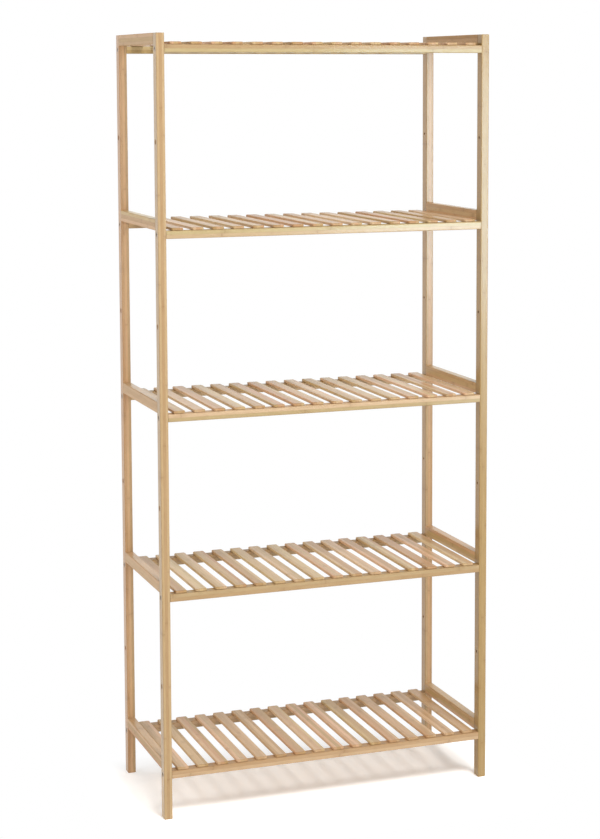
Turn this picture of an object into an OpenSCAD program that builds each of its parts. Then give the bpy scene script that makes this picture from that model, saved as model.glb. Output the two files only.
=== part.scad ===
// Slatted bamboo shelving unit: five shelves hung between two ladder-like side frames.
// The front is -Y, the left is -X and the top is +Z.
// The origin is on the floor, under the middle of the unit.

/* [Unit] */
// Overall width, over the outer faces of the side frames
unit_w = 630; // [600:1:700]
// Overall depth, over the front and back faces of the posts
unit_d = 278; // [250:1:330]
// Overall height, to the tops of the posts
unit_h = 1400; // [1250:1:1600]
// Clear height under the rails of the lowest shelf
leg_h = 74; // [50:1:120]

/* [Side frames] */
// Thickness of the posts and ties, across the unit
frame_t = 15; // [14:0.5:20]
// Depth of a post, front to back
post_d = 20; // [19:0.5:26]
// Height of a tie, the cross bar that joins a front post to a back post
tie_h = 20; // [19:0.5:30]
// Rounding of the long edges of posts, ties and shelf rails
bar_r = 1.5; // [0.5:0.1:2.5]
// Rounding of the cut ends of the posts
end_r = 1; // [0.4:0.1:2]

/* [Shelves] */
// Height of a shelf rail
rail_h = 14; // [12:0.5:20]
// Depth of a shelf rail, front to back
rail_d = 20; // [18:0.5:25]
// Number of slats on a shelf
slat_count = 16; // [10:1:17]
// Width of a slat
slat_w = 21; // [16:0.5:24]
// Thickness of a slat
slat_t = 5; // [4:0.5:8]
// Gap between an outer slat and the side frame
slat_side_gap = 10.5; // [5:0.5:20]
// How far the ends of a slat lie inside the faces of the rails
slat_setback = 1.5; // [0:0.5:4]
// Rounding of the long edges and end edges of a slat
slat_r = 1.5; // [0.5:0.1:1.9]
// Rounding of a slat's corners, seen from above
slat_corner_r = 3; // [2:0.1:6]

/* [Frame screws] */
// Diameter of a frame screw's shank
screw_d = 5; // [4:0.1:5.5]
// Length of a frame screw, with its head
screw_len = 45; // [35:1:60]
// Diameter of a frame screw's countersunk head
head_d = 9; // [8:0.1:10]
// Width across the flats of the hexagon socket
socket_af = 3; // [2.5:0.1:4]
// Depth of the hexagon socket
socket_depth = 2.5; // [1.5:0.1:3.5]
// Gap all round between a frame screw and the wood
screw_gap = 0.1; // [0.05:0.05:0.3]

/* [Dowels] */
// Diameter of a dowel
dowel_d = 6; // [4:0.1:7]
// Length of a dowel
dowel_len = 24; // [16:1:28]
// Distance between the two dowels of a joint
dowel_pitch = 10; // [8:0.5:11]
// Gap all round between a dowel and its hole
dowel_gap = 0.1; // [0.05:0.05:0.2]
// Spare depth at the bottom of a dowel hole or a screw hole
end_gap = 0.5; // [0.2:0.1:1]

/* [Slat screws] */
// Diameter of a slat screw's shank
pin_d = 3; // [2:0.1:3.5]
// Diameter of a slat screw's countersunk head
pin_head_d = 5.6; // [4.5:0.1:6]
// How far a slat screw's head lies inside the rail
pin_recess = 0.4; // [0.2:0.1:1]
// How far a slat screw reaches into the slat
pin_bite = 3; // [1:0.1:3]
// How far the slat screws lie inside the middle of the rails, to pass the frame screws
pin_shift = 5.5; // [5:0.1:6]
// Gap all round between a slat screw and the wood
pin_gap = 0.1; // [0.05:0.05:0.2]

/* [Hidden] */

// Shelves are counted from the lowest, 1, to the highest, 5
shelf_count = 5;
levels = [for (i = [1 : shelf_count]) i];
front = -1;
back = 1;
left = -1;
right = 1;

// Facets of a full circle, and the overlap that makes a cut clean
round_fn = 32;
cut = 1;

bamboo_post = [0.84, 0.70, 0.54];
bamboo_tie = [0.82, 0.68, 0.52];
bamboo_rail = [0.85, 0.71, 0.54];
bamboo_slat = [0.86, 0.74, 0.60];
dark_steel = [0.16, 0.15, 0.15];
zinc_steel = [0.62, 0.62, 0.60];
beech = [0.80, 0.62, 0.42];

// Places across, along and up the unit
post_x = unit_w / 2 - frame_t / 2;
post_y = unit_d / 2 - post_d / 2;
inner_x = unit_w / 2 - frame_t;
inner_y = unit_d / 2 - post_d;
rail_y = unit_d / 2 - rail_d / 2;
pin_y = rail_y - pin_shift;
tie_len = 2 * inner_y;
rail_len = 2 * inner_x;

// The highest tie is flush with the post tops, and each shelf's rails lie right under its ties
rail_top_z = unit_h - tie_h - rail_h;
shelf_pitch = (rail_top_z - leg_h) / (shelf_count - 1);
function rail_z(level) = leg_h + (level - 1) * shelf_pitch;
function tie_z(level) = rail_z(level) + rail_h;
function slat_z(level) = rail_z(level) + rail_h;
function screw_z(level) = rail_z(level) + rail_h / 2;

// Each post has a screw hole at every shelf, and a spare one half way between two shelves
screw_levels = [for (i = [1 : 0.5 : shelf_count]) i];

// Slats are spread evenly over the width between the side frames
slat_len = unit_d - 2 * slat_setback;
slat_pitch = (rail_len - 2 * slat_side_gap - slat_w) / (slat_count - 1);
slat_x = [for (i = [0 : slat_count - 1]) (i - (slat_count - 1) / 2) * slat_pitch];

// Countersunk heads widen at 45 degrees a side
head_rim = 0.4;
tip_len = 3;
pin_tip_len = 1.2;
pin_len = rail_h - pin_recess + pin_bite;

// A rectangle about the origin with round corners
module round_rect(w, h, r) {
    square([w - 2 * r, h], center = true);
    square([w, h - 2 * r], center = true);
    for (x = [-1, 1], y = [-1, 1])
        translate([x * (w / 2 - r), y * (h / 2 - r)])
            circle(r = r, $fn = round_fn);
}

// A bar along X about the origin, with round long edges
module bar_x(length, depth, height, r) {
    rotate([90, 0, 90])
        linear_extrude(height = length, center = true)
            round_rect(depth, height, r);
}

// A bar along Y about the origin, with round long edges
module bar_y(width, length, height, r) {
    rotate([90, 0, 0])
        linear_extrude(height = length, center = true)
            round_rect(width, height, r);
}

// A bar along Z about the origin, with round long edges
module bar_z(width, depth, length, r) {
    linear_extrude(height = length, center = true)
        round_rect(width, depth, r);
}

// A countersunk screw along -Z, with the top of its head at z = 0
module screw(shank_d, top_d, length, point) {
    cone_h = (top_d - shank_d) / 2;
    rotate_extrude($fn = round_fn)
        polygon([
            [0, 0], [top_d / 2, 0], [top_d / 2, -head_rim],
            [shank_d / 2, -head_rim - cone_h], [shank_d / 2, point - length],
            [shank_d / 4, -length], [0, -length]
        ]);
}

// The hole that such a screw fits, open above z = 0 and deep below its head
module screw_hole(shank_d, top_d, depth, gap) {
    cone_h = (top_d - shank_d) / 2;
    rotate_extrude($fn = round_fn)
        polygon([
            [0, cut], [top_d / 2 + gap, cut], [top_d / 2 + gap, -head_rim],
            [shank_d / 2 + gap, -head_rim - cone_h], [shank_d / 2 + gap, -depth], [0, -depth]
        ]);
}

// A dowel along Z about the origin, with bevelled ends
module dowel() {
    bevel = dowel_d / 8;
    rotate_extrude($fn = round_fn)
        polygon([
            [0, -dowel_len / 2], [dowel_d / 2 - bevel, -dowel_len / 2],
            [dowel_d / 2, -dowel_len / 2 + bevel], [dowel_d / 2, dowel_len / 2 - bevel],
            [dowel_d / 2 - bevel, dowel_len / 2], [0, dowel_len / 2]
        ]);
}

// The two holes of a dowelled joint, drilled both ways along Y from the joint face
module dowel_holes() {
    for (z = [-1, 1])
        translate([0, 0, z * dowel_pitch / 2])
            rotate([90, 0, 0])
                cylinder(
                    d = dowel_d + 2 * dowel_gap, h = dowel_len + 2 * end_gap,
                    center = true, $fn = round_fn
                );
}

// One post, drilled for the frame screws from its outer face and for the dowels of every tie
module post(side, row) {
    color(bamboo_post)
        translate([side * post_x, row * post_y, 0])
            difference() {
                intersection() {
                    translate([0, 0, unit_h / 2])
                        bar_z(frame_t, post_d, unit_h, bar_r);
                    translate([0, 0, unit_h / 2])
                        bar_y(frame_t, post_d + cut, unit_h, end_r);
                    translate([0, 0, unit_h / 2])
                        bar_x(frame_t + cut, post_d, unit_h, end_r);
                }
                for (level = screw_levels)
                    translate([side * frame_t / 2, row * (rail_y - post_y), screw_z(level)])
                        rotate([0, side * 90, 0])
                            screw_hole(screw_d, head_d, frame_t + cut, screw_gap);
                for (level = levels)
                    translate([0, row * (inner_y - post_y), tie_z(level) + tie_h / 2])
                        dowel_holes();
            }
}

// One tie, butted between the front post and the back post of a side frame
module tie(side, level) {
    color(bamboo_tie)
        translate([side * post_x, 0, tie_z(level) + tie_h / 2])
            difference() {
                bar_y(frame_t, tie_len, tie_h, bar_r);
                for (row = [front, back])
                    translate([0, row * inner_y, 0])
                        dowel_holes();
            }
}

// One shelf rail, bored at its ends for the frame screws and from below for the slat screws
module rail(row, level) {
    color(bamboo_rail)
        translate([0, row * rail_y, rail_z(level)])
            difference() {
                translate([0, 0, rail_h / 2])
                    bar_x(rail_len, rail_d, rail_h, bar_r);
                for (side = [left, right])
                    translate([side * (inner_x + cut), 0, rail_h / 2])
                        rotate([0, -side * 90, 0])
                            cylinder(
                                d = screw_d + 2 * screw_gap,
                                h = screw_len - frame_t + end_gap + cut, $fn = round_fn
                            );
                for (x = slat_x)
                    translate([x, row * (pin_y - rail_y), pin_recess])
                        rotate([180, 0, 0])
                            screw_hole(pin_d, pin_head_d, rail_h + cut, pin_gap);
            }
}

// One slat, laid across the rails, with a blind hole over each of them
module slat() {
    difference() {
        translate([0, 0, slat_t / 2])
            intersection() {
                bar_y(slat_w, slat_len + cut, slat_t, slat_r);
                bar_x(slat_w + cut, slat_len, slat_t, slat_r);
                bar_z(slat_w, slat_len, slat_t + cut, slat_corner_r);
            }
        for (row = [front, back])
            translate([0, row * pin_y, -cut])
                cylinder(
                    d = pin_d + 2 * pin_gap, h = pin_bite + end_gap / 2 + cut, $fn = round_fn
                );
    }
}

// The slats of one shelf
module slats(level) {
    color(bamboo_slat)
        for (x = slat_x)
            translate([x, 0, slat_z(level)])
                slat();
}

// The screws that hold one shelf's slats, driven up through both rails
module slat_screws(level) {
    color(zinc_steel)
        for (x = slat_x, row = [front, back])
            translate([x, row * pin_y, rail_z(level) + pin_recess])
                rotate([180, 0, 0])
                    screw(pin_d, pin_head_d, pin_len, pin_tip_len);
}

// The socket screws that clamp every shelf rail between its two posts
module frame_screws() {
    color(dark_steel)
        for (side = [left, right], row = [front, back], level = levels)
            translate([side * unit_w / 2, row * rail_y, screw_z(level)])
                rotate([0, side * 90, 0])
                    difference() {
                        screw(screw_d, head_d, screw_len, tip_len);
                        translate([0, 0, -socket_depth])
                            cylinder(d = socket_af / cos(30), h = socket_depth + cut, $fn = 6);
                    }
}

// The dowels that join every tie to its two posts
module dowels() {
    color(beech)
        for (side = [left, right], row = [front, back], level = levels, z = [-1, 1])
            translate([
                side * post_x, row * inner_y, tie_z(level) + tie_h / 2 + z * dowel_pitch / 2
            ])
                rotate([90, 0, 0])
                    dowel();
}

post(left, front);  // post_front_left
post(right, front);  // post_front_right
post(left, back);  // post_back_left
post(right, back);  // post_back_right
tie(left, 1);  // tie_left_1
tie(left, 2);  // tie_left_2
tie(left, 3);  // tie_left_3
tie(left, 4);  // tie_left_4
tie(left, 5);  // tie_left_5
tie(right, 1);  // tie_right_1
tie(right, 2);  // tie_right_2
tie(right, 3);  // tie_right_3
tie(right, 4);  // tie_right_4
tie(right, 5);  // tie_right_5
rail(front, 1);  // rail_front_1
rail(front, 2);  // rail_front_2
rail(front, 3);  // rail_front_3
rail(front, 4);  // rail_front_4
rail(front, 5);  // rail_front_5
rail(back, 1);  // rail_back_1
rail(back, 2);  // rail_back_2
rail(back, 3);  // rail_back_3
rail(back, 4);  // rail_back_4
rail(back, 5);  // rail_back_5
slats(1);  // slats_1
slats(2);  // slats_2
slats(3);  // slats_3
slats(4);  // slats_4
slats(5);  // slats_5
slat_screws(1);  // slat_screws_1
slat_screws(2);  // slat_screws_2
slat_screws(3);  // slat_screws_3
slat_screws(4);  // slat_screws_4
slat_screws(5);  // slat_screws_5
frame_screws();
dowels();
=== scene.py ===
"""A slatted bamboo shelving unit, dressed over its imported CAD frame.

Everything is in metres. The front is -Y, the left is -X and the top is +Z.
"""

import logging
import math
from collections.abc import Iterable, Sequence
from dataclasses import dataclass, field
from enum import Enum
from random import Random

import bmesh
import bpy
from mathutils import Matrix, Vector

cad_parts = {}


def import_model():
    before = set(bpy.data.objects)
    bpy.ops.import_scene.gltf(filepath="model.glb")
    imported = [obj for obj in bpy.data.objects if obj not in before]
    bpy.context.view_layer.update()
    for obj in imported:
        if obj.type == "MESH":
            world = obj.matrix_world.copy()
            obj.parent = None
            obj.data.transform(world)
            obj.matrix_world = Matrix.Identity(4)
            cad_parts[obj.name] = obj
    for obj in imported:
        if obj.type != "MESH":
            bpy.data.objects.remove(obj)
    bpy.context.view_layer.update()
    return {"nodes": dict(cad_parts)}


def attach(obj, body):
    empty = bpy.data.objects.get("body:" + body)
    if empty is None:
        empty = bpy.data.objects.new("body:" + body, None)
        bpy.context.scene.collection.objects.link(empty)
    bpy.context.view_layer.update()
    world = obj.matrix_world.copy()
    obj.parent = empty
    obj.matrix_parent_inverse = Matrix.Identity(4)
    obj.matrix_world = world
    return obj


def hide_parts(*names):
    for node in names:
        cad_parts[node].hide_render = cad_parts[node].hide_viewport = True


log = logging.getLogger("shelving_unit")

Colour = tuple[float, float, float]
Point = tuple[float, float, float]
Span = tuple[float, float]
Mesh = bpy.types.Mesh
Socket = bpy.types.NodeSocket
Sockets = bpy.types.bpy_prop_collection
Thing = bpy.types.Object
Feed = Socket | bpy.types.ID | float | str | tuple[float, ...] | None

BODY = "root"

GRAIN = "grain_at"
GRAIN_SHIFT = "grain_shift"
ARRIS = "arris"
BORED = "bored"
CUT_END = "cut_end"
TONE_AND_SHADE = "piece_tone"

FLOAT = "NodeSocketFloat"
INT = "NodeSocketInt"
VECTOR = "NodeSocketVector"
COLOUR = "NodeSocketColor"

GRAIN_RUN = 30.0
SHADE_ANGLE = math.radians(40)
SKIN = 0.0001
MM_PER_M = 1000
WHITE = (1.0, 1.0, 1.0)
BLACK = (0.0, 0.0, 0.0)

# Tones of listed pieces: besides the wood's own tone they hold painted shade and light. The back rails are darkened
# as painted shade under the slats, the front right post is darkened and the back left post is lightened.
PIECE_TONES_AND_PAINTED_SHADE = {
    "post_front_left": 0.62,
    "post_front_right": 1.22,
    "post_back_left": -0.2,
    "post_back_right": 0.71,
    "rail_front_5": 0.58,
    "rail_front_4": -0.6,
    "rail_front_3": 0.33,
    "rail_front_2": 0.49,
    "rail_front_1": 0.41,
    "rail_back_5": 0.9,
    "rail_back_4": 1.1,
    "rail_back_3": 1.2,
    "rail_back_2": 1.3,
    "rail_back_1": 1.25,
}


class Side(Enum):
    """The two side frames, by the sign of their place along X."""

    LEFT = -1
    RIGHT = 1


class Row(Enum):
    """The front and back rows of posts and rails, by the sign of their place along Y."""

    FRONT = -1
    BACK = 1


class Run(Enum):
    """Which way a bar runs: the unit's axes for its across, its depth and its length."""

    ALONG_X = (1, 2, 0)
    ALONG_Y = (0, 2, 1)
    ALONG_Z = (0, 1, 2)


@dataclass(frozen=True)
class UnitSizes:
    """The unit's sizes, as its CAD source gives them."""

    width: float = 0.630
    depth: float = 0.278
    height: float = 1.400
    leg: float = 0.074
    frame_thickness: float = 0.015
    post_depth: float = 0.020
    tie_height: float = 0.020
    bar_radius: float = 0.0015
    post_end_radius: float = 0.001
    rail_height: float = 0.014
    rail_depth: float = 0.020
    shelf_count: int = 5
    slat_count: int = 16
    slat_width: float = 0.021
    slat_thickness: float = 0.005
    slat_side_gap: float = 0.0105
    slat_setback: float = 0.0015
    slat_radius: float = 0.0015
    slat_corner_radius: float = 0.003
    screw_diameter: float = 0.005
    screw_length: float = 0.045
    screw_tip: float = 0.003
    screw_gap: float = 0.0001
    head_diameter: float = 0.009
    head_rim: float = 0.0004
    socket_flats: float = 0.003
    socket_depth: float = 0.0025
    socket_point: float = 0.0005
    pin_diameter: float = 0.003
    pin_tip: float = 0.0012
    pin_gap: float = 0.0001
    pin_head_diameter: float = 0.0056
    pin_head_bevel: float = 0.0001
    pin_recess: float = 0.0004
    pin_bite: float = 0.003
    pin_shift: float = 0.0055
    cross_width: float = 0.0007
    cross_span: float = 0.0030
    cross_depth: float = 0.0022
    cross_corner: float = 0.0002

    @property
    def post_x(self) -> float:
        """The middle of a side frame, across the unit."""
        return self.width / 2 - self.frame_thickness / 2

    @property
    def post_y(self) -> float:
        """The middle of a post, front to back."""
        return self.depth / 2 - self.post_depth / 2

    @property
    def inner_x(self) -> float:
        """The inner face of a side frame."""
        return self.width / 2 - self.frame_thickness

    @property
    def inner_y(self) -> float:
        """The face of a post that a tie butts against."""
        return self.depth / 2 - self.post_depth

    @property
    def rail_y(self) -> float:
        """The middle of a rail, front to back."""
        return self.depth / 2 - self.rail_depth / 2

    @property
    def pin_y(self) -> float:
        """The line of the slat screws."""
        return self.rail_y - self.pin_shift

    @property
    def pin_length(self) -> float:
        """The length of a slat screw, from the top of its head to its tip in a slat."""
        return self.rail_height - self.pin_recess + self.pin_bite

    @property
    def shelf_pitch(self) -> float:
        """The height from one shelf to the next."""
        top = self.height - self.tie_height - self.rail_height
        return (top - self.leg) / (self.shelf_count - 1)

    @property
    def slat_pitch(self) -> float:
        """The distance from one slat to the next."""
        room = 2 * self.inner_x - 2 * self.slat_side_gap - self.slat_width
        return room / (self.slat_count - 1)

    @property
    def slat_places(self) -> list[float]:
        """The middle of every slat, across the unit."""
        return [(i - (self.slat_count - 1) / 2) * self.slat_pitch for i in range(self.slat_count)]

    @property
    def levels(self) -> range:
        """The shelves, counted from the lowest, 1."""
        return range(1, self.shelf_count + 1)

    def rail_z(self, level: float) -> float:
        """The underside of a shelf's rails."""
        return self.leg + (level - 1) * self.shelf_pitch

    def screw_z(self, level: float) -> float:
        """The height of the screws in a shelf's rails."""
        return self.rail_z(level) + self.rail_height / 2

    def slat_z(self, level: float) -> float:
        """The underside of a shelf's slats and ties."""
        return self.rail_z(level) + self.rail_height


class Wiring:
    """Adds nodes to one node tree and joins them."""

    def __init__(self, tree: bpy.types.NodeTree) -> None:
        """Takes the node tree to work on."""
        self.tree = tree

    @classmethod
    def afresh(cls, owner: bpy.types.Material | bpy.types.World) -> "Wiring":
        """Starts on the emptied node tree of a material or a world.

        Args:
            owner: The material or world.

        Returns:
            Its wiring.
        """
        owner.use_nodes = True
        owner.node_tree.nodes.clear()
        return cls(owner.node_tree)

    def node(self, kind: str, inputs: dict[str | int, Feed] | None = None, **settings: object) -> bpy.types.Node:
        """Adds a node.

        Args:
            kind: The node's type name.
            inputs: What feeds each input, by the socket's name or number, or None to leave it.
            **settings: The node's own properties.

        Returns:
            The new node.
        """
        made = self.tree.nodes.new(kind)
        for name, value in settings.items():
            setattr(made, name, value)
        for key, value in (inputs or {}).items():
            if value is not None:
                self._feed(made.inputs[key], value)
        return made

    def _feed(self, socket: Socket, value: Feed) -> None:
        """Feeds an input socket.

        Args:
            socket: The input to feed.
            value: An output socket to link, or a plain value to set.
        """
        if isinstance(value, Socket):
            self.tree.links.new(value, socket)
        elif isinstance(value, tuple) and socket.type == "RGBA":
            socket.default_value = (*value, 1.0)
        else:
            socket.default_value = value

    def maths(self, operation: str, *values: Feed, clamp: bool = False) -> Socket:
        """Works on numbers, and holds the result between 0 and 1 where it is clamped."""
        made = self.node("ShaderNodeMath", dict(enumerate(values)), operation=operation, use_clamp=clamp)
        return made.outputs[0]

    def plus(self, first: Feed, second: Feed) -> Socket:
        """The sum of two numbers."""
        return self.maths("ADD", first, second)

    def minus(self, first: Feed, second: Feed) -> Socket:
        """The first number less the second."""
        return self.maths("SUBTRACT", first, second)

    def times(self, first: Feed, second: Feed) -> Socket:
        """The product of two numbers."""
        return self.maths("MULTIPLY", first, second)

    def most(self, first: Feed, second: Feed) -> Socket:
        """The greater of two numbers."""
        return self.maths("MAXIMUM", first, second)

    def total(self, start: Feed, *terms: tuple[Feed, float]) -> Socket:
        """Adds numbers to a start, each times its share.

        Args:
            start: What the sum starts from.
            *terms: Each number with its share.

        Returns:
            The sum.
        """
        for value, share in terms:
            start = self.maths("MULTIPLY_ADD", value, share, start)
        return start

    def vector(self, operation: str, *values: Feed, scale: Feed = None) -> Socket:
        """Works on vectors, with a number for the SCALE operation."""
        inputs = {**dict(enumerate(values)), "Scale": scale}
        return self.node("ShaderNodeVectorMath", inputs, operation=operation).outputs["Vector"]

    def combine(self, x: Feed, y: Feed, z: Feed) -> Socket:
        """Joins three numbers into a vector."""
        return self.node("ShaderNodeCombineXYZ", {0: x, 1: y, 2: z}).outputs[0]

    def split(self, value: Feed) -> tuple[Socket, ...]:
        """Splits a vector into its three numbers."""
        return tuple(self.node("ShaderNodeSeparateXYZ", {0: value}).outputs)

    def fade(self, value: Feed, start: Feed, end: Feed, low: float = 0.0, high: float = 1.0) -> Socket:
        """Maps a number smoothly to low at the start and before it, and to high at the end and beyond."""
        inputs = {"Value": value, "From Min": start, "From Max": end, "To Min": low, "To Max": high}
        return self.node("ShaderNodeMapRange", inputs, interpolation_type="SMOOTHSTEP").outputs["Result"]

    def fade_out(self, value: Feed, start: Feed, end: Feed) -> Socket:
        """Maps a number smoothly to 1 at the start and 0 at the end."""
        return self.fade(value, start, end, 1.0, 0.0)

    def blend(self, share: Feed, first: Feed, second: Feed, mode: str = "MIX") -> Socket:
        """Mixes a share of the second colour into the first."""
        inputs = {0: share, 6: first, 7: second}
        return self.node("ShaderNodeMix", inputs, data_type="RGBA", blend_type=mode, clamp_factor=True).outputs[2]

    def noise(
        self, place: Feed, stretch: Point | None = None, detail: float = 2.0, roughness: float = 0.5,
    ) -> Socket:
        """Adds a Noise Texture.

        Args:
            place: The vector to read it at.
            stretch: How fine it is along each axis, where the place isn't scaled yet.
            detail: The octaves of detail.
            roughness: How strong the finer octaves are.

        Returns:
            The noise value.
        """
        if stretch:
            place = self.vector("MULTIPLY", place, stretch)
        inputs = {"Vector": place, "Scale": 1.0, "Detail": detail, "Roughness": roughness}
        return self.node("ShaderNodeTexNoise", inputs).outputs[0]

    def dice(self, cell: Feed) -> Sockets:
        """Random values that are the same all over a cell."""
        return self.node("ShaderNodeTexWhiteNoise", {"Vector": cell}, noise_dimensions="3D").outputs

    def attribute(self, name: str, output: str = "Fac") -> Socket:
        """Reads a mesh attribute in a material."""
        return self.node("ShaderNodeAttribute", attribute_name=name).outputs[output]

    def object_place(self) -> Socket:
        """Where a point lies in its object's coordinates."""
        return self.node("ShaderNodeTexCoord").outputs["Object"]

    def seen(self) -> Socket:
        """Whether a ray comes from the camera, a reflection or glass, rather than as light."""
        ray = self.node("ShaderNodeLightPath").outputs
        return self.most(self.most(ray["Is Camera Ray"], ray["Is Glossy Ray"]), ray["Is Transmission Ray"])

    def bumped(self, relief: Feed, strength: float, height: float) -> Socket:
        """A surface's direction with a fine relief on it."""
        return self.node("ShaderNodeBump", {"Strength": strength, "Distance": height, "Height": relief}).outputs[0]

    def principled(self, inputs: dict[str, Feed]) -> Socket:
        """Adds a Principled shader."""
        return self.node("ShaderNodeBsdfPrincipled", inputs).outputs["BSDF"]

    def surface(self, shader: Socket, owner: str = "Material") -> None:
        """Ends a material or a world with its shader."""
        self.node(f"ShaderNodeOutput{owner}", {"Surface": shader})


class GroupShelf:
    """Builds each shared shader node group once and places it in materials."""

    SEAM = (0.0, 0.00035)
    KNUCKLE = (0.0004, 0.0024)
    KNUCKLE_HALO = (0.001, 0.016)
    KNUCKLE_RIPPLE = 0.005
    KNUCKLE_FROM, KNUCKLE_ROOM = 0.25, 0.5
    RIPPLE_FINENESS = 420.0
    TURN_SHIFT, CELL_SHIFT, RIPPLE_SHIFT = 17.0, 91.0, 40.0
    STRIP_SHIFT = (7.0, 3.0, 5.0)
    STREAK = (0.28, 0.72)
    FLECK = (0.6, 0.74)
    FLECK_STRETCH = (2.6, 0.9, 0.9)
    MOTTLE = (0.3, 0.7)
    MOTTLE_STRETCH = (14.0, 150.0, 150.0)
    STRIP_TONE = (0.1, 0.9)
    MOTTLE_WARMTH, PIECE_WARMTH, STRIP_WARMTH = 0.15, 0.4, 0.65
    ROSY = (0.5, 0.9)
    OLIVE = (0.1, 0.5)
    STREAK_DARKENING = 0.24
    DARKENING = {"Fleck": 0.28, "Knuckle Halo": 0.12, "Knuckle": 0.22, "Glue Line": 0.28}
    DOT = (0.12, 0.36)
    DOT_DISORDER = 0.85
    END_DARKNESS, DOT_DARKNESS = 0.36, 0.35
    WORN_PATCH = (0.42, 0.66)
    WORN_PATCH_STRETCH = (60.0, 300.0, 300.0)
    WORN_ARRIS = (0.25, 1.0)
    STEEL_LINE_STRETCH = (1.0, 1.0, 0.25)
    STEEL_SPOT = (0.45, 0.7)
    STEEL_SPOT_STRETCH = (0.22, 0.22, 0.22)

    def __init__(self) -> None:
        """Starts with no groups."""
        self._made: dict[str, bpy.types.NodeTree] = {}
        self._makers = {
            "Bamboo Strips": self._strips,
            "Bamboo Fibre": self._fibre,
            "Bamboo Colour": self._colour,
            "Cut Ends": self._ends,
            "Handled Edges": self._edges,
            "Steel Grain": self._steel,
        }

    def place(self, w: Wiring, name: str, inputs: dict[str, Feed]) -> Sockets:
        """Places a shared group in a material.

        Args:
            w: The material's wiring.
            name: The group's name.
            inputs: What feeds each of its inputs.

        Returns:
            The group's outputs.
        """
        if name not in self._made:
            self._made[name] = self._makers[name]()
            self._made[name].name = name
        return w.node("ShaderNodeGroup", inputs, node_tree=self._made[name]).outputs

    @staticmethod
    def _start(inputs: dict[str, float | Colour | None]) -> tuple[Wiring, Sockets]:
        """Starts a group with its inputs.

        Args:
            inputs: Each input's default: a number, a colour, or None for a vector.

        Returns:
            The group's wiring, and what its inputs give.
        """
        tree = bpy.data.node_groups.new("group", "ShaderNodeTree")
        for label, default in inputs.items():
            kind = VECTOR if default is None else COLOUR if isinstance(default, tuple) else FLOAT
            socket = tree.interface.new_socket(label, in_out="INPUT", socket_type=kind)
            if default is not None:
                socket.default_value = (*default, 1.0) if kind == COLOUR else default
        w = Wiring(tree)
        return w, w.node("NodeGroupInput").outputs

    @staticmethod
    def _end(w: Wiring, outputs: dict[str, Socket]) -> bpy.types.NodeTree:
        """Ends a group with its outputs.

        Args:
            w: The group's wiring.
            outputs: What feeds each output.

        Returns:
            The group.
        """
        kinds = {"VALUE": FLOAT, "VECTOR": VECTOR, "RGBA": COLOUR}
        for label, value in outputs.items():
            w.tree.interface.new_socket(label, in_out="OUTPUT", socket_type=kinds[value.type])
        w.node("NodeGroupOutput", outputs)
        return w.tree

    def _strips(self) -> bpy.types.NodeTree:
        """Glued strips: which strip a point is in, the glue line beside it, and the knuckles along it.

        Returns:
            The group.
        """
        w, given = self._start({
            "Place": None, "Strip Width": 0.005, "Strip Depth": 0.02, "Layer Offset": 0.5,
            "Knuckle Spacing": 0.26, "Seed": 0.0,
        })
        width, deepness, spacing = given["Strip Width"], given["Strip Depth"], given["Knuckle Spacing"]
        along, across, deep = w.split(given["Place"])
        column = w.plus(w.maths("DIVIDE", across, width), 0.5)
        layer = w.plus(w.maths("DIVIDE", deep, deepness), given["Layer Offset"])
        strip = w.dice(w.combine(w.maths("FLOOR", column), w.maths("FLOOR", layer), given["Seed"]))
        first, second, third = w.split(strip["Color"])

        def to_seam(place: Socket, size: Socket) -> Socket:
            """The distance in metres from a point to the edge of its strip."""
            middle = w.maths("ABSOLUTE", w.minus(w.maths("FRACT", place), 0.5))
            return w.times(w.minus(0.5, middle), size)

        seam = w.maths("MINIMUM", to_seam(column, width), to_seam(layer, deepness))
        turns = w.plus(w.maths("DIVIDE", along, spacing), w.times(first, self.TURN_SHIFT))
        length = w.dice(w.combine(w.maths("FLOOR", turns), w.times(second, self.CELL_SHIFT), given["Seed"]))
        spot = w.total(self.KNUCKLE_FROM, (length["Value"], self.KNUCKLE_ROOM))
        off = w.times(w.minus(w.maths("FRACT", turns), spot), spacing)
        fine = [w.times(value, self.RIPPLE_FINENESS) for value in (across, deep)]
        ripple = w.minus(w.noise(w.combine(w.times(third, self.RIPPLE_SHIFT), *fine)), 0.5)
        near = w.maths("ABSOLUTE", w.plus(off, w.times(ripple, self.KNUCKLE_RIPPLE)))
        shift = w.vector("MULTIPLY", strip["Color"], self.STRIP_SHIFT)
        return self._end(w, {
            "Tone": strip["Value"],
            "Hue": third,
            "Glue Line": w.fade_out(seam, *self.SEAM),
            "Knuckle": w.fade_out(near, *self.KNUCKLE),
            "Knuckle Halo": w.fade_out(near, *self.KNUCKLE_HALO),
            "Strip Place": w.vector("ADD", given["Place"], shift),
        })

    def _fibre(self) -> bpy.types.NodeTree:
        """Fine lengthwise fibres, dark flecks among them, and slow changes along a strip.

        Returns:
            The group.
        """
        w, given = self._start({"Place": None, "Fineness": 1900.0, "Stretch": 70.0})
        along, across, deep = w.split(given["Place"])
        fine = given["Fineness"]
        slow = w.maths("DIVIDE", fine, given["Stretch"])
        streaks = w.combine(w.times(along, slow), w.times(across, fine), w.times(deep, fine))
        return self._end(w, {
            "Streak": w.fade(w.noise(streaks, detail=3.0, roughness=0.6), *self.STREAK),
            "Fleck": w.fade(w.noise(streaks, self.FLECK_STRETCH, detail=1.0), *self.FLECK),
            "Mottle": w.fade(w.noise(given["Place"], self.MOTTLE_STRETCH), *self.MOTTLE),
        })

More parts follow.
